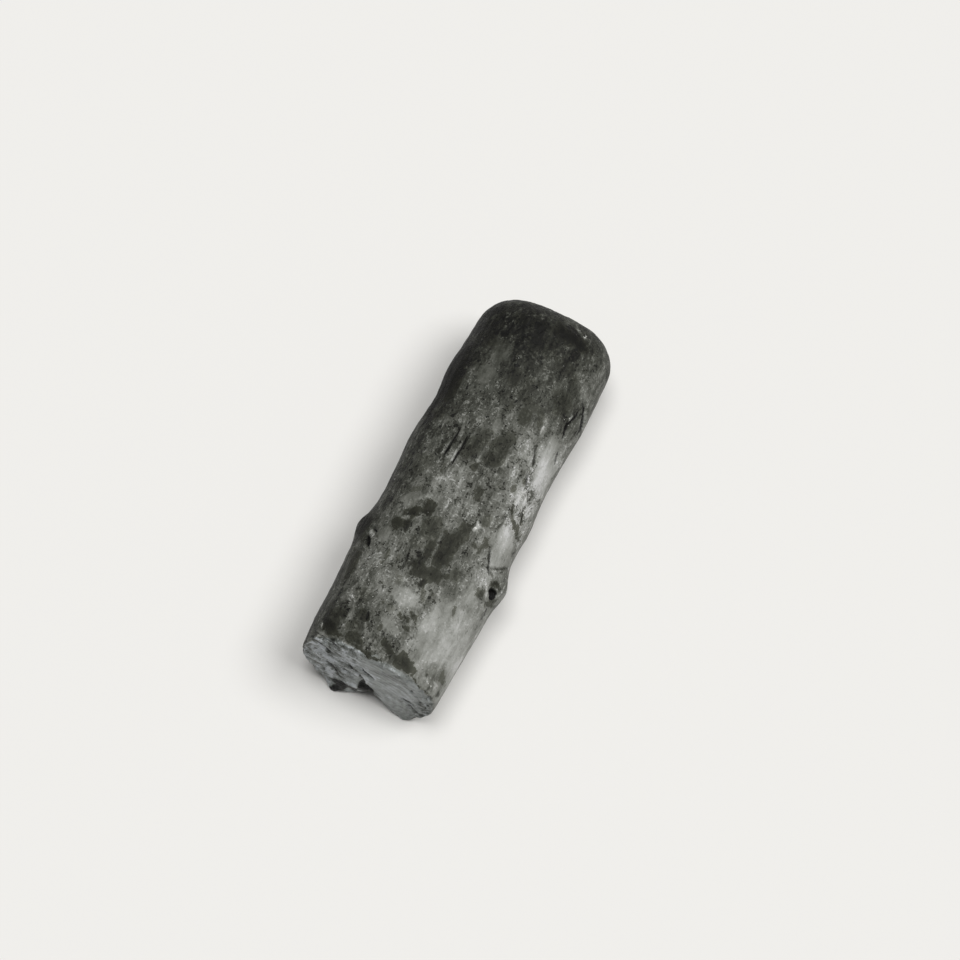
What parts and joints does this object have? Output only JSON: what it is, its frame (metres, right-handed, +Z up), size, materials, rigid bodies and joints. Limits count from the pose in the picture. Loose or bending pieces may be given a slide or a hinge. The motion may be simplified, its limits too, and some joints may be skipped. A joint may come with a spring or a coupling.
{
  "type": "charcoal lump",
  "caption": "Short log of dense white charcoal, one piece with a snapped end, a rounded end, knots and cracks, lying on a worn flat side.",
  "frame": {"origin": "on the ground, under the middle of the log's box", "axes": "+Y along the log from its snapped end to its rounded end, +Z up, +X to the right seen from the snapped end"},
  "size_m": [0.0534, 0.1422, 0.0425],
  "materials": {
    "charcoal": "charred wood fired to dense charcoal: matt grey ash bloom over black, with a faint graphite sheen"
  },
  "bodies": {
    "root": {"charcoal_lump": "charcoal"}
  },
  "joints": []
}
